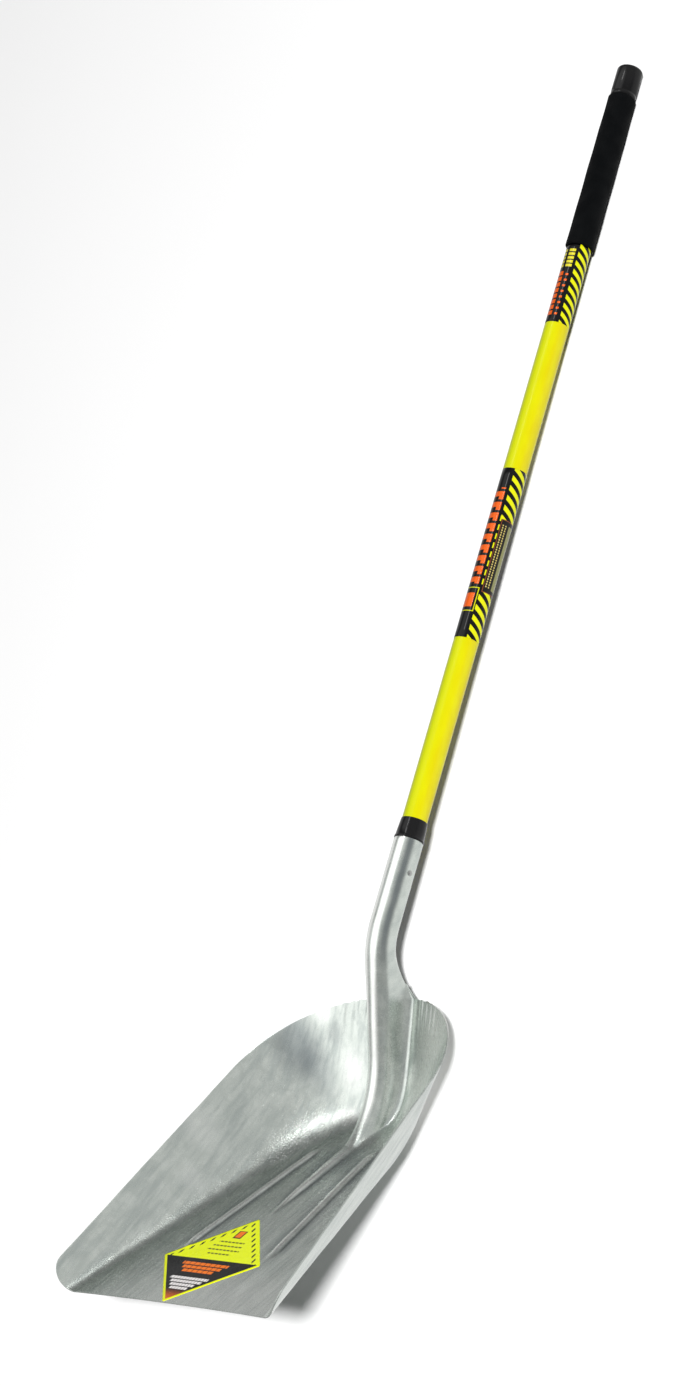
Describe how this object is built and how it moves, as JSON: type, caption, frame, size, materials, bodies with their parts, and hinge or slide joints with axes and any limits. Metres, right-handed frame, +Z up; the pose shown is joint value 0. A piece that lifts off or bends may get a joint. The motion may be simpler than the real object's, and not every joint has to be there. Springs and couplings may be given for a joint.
{
  "type": "snow shovel",
  "caption": "Scoop-pattern shovel: pressed aluminium tray blade with rolled socket, straight fibreglass handle, foam grip and end cap.",
  "frame": {"origin": "middle of the bounding box at floor level, with the shovel lying at rest hollow side up on the blade's heel and the handle's outer end", "axes": "+Y from the blade to the grip, +X across the blade, +Z up"},
  "size_m": [0.4038, 1.7256, 0.2759],
  "materials": {
    "blade_aluminium": "mill finish, fine scratches",
    "collar_plastic": "gloss moulded plastic",
    "handle_fibreglass": "smooth pultruded fibreglass, semi-gloss",
    "plug_wood": "turned dowel",
    "rivet_metal": "upset rivet, satin",
    "grip_foam": "closed-cell foam, matt",
    "cap_plastic": "gloss moulded plastic",
    "handle_film": "printed gloss film",
    "sticker_film": "printed gloss film"
  },
  "bodies": {
    "root": {"scoop_blade": "blade_aluminium", "socket_collar": "collar_plastic", "handle_tube": "handle_fibreglass", "core_plug": "plug_wood", "socket_rivet": "rivet_metal", "foam_grip": "grip_foam", "end_cap": "cap_plastic", "handle_label_middle": "handle_film", "handle_label_upper": "handle_film", "blade_sticker": "sticker_film"}
  },
  "joints": []
}
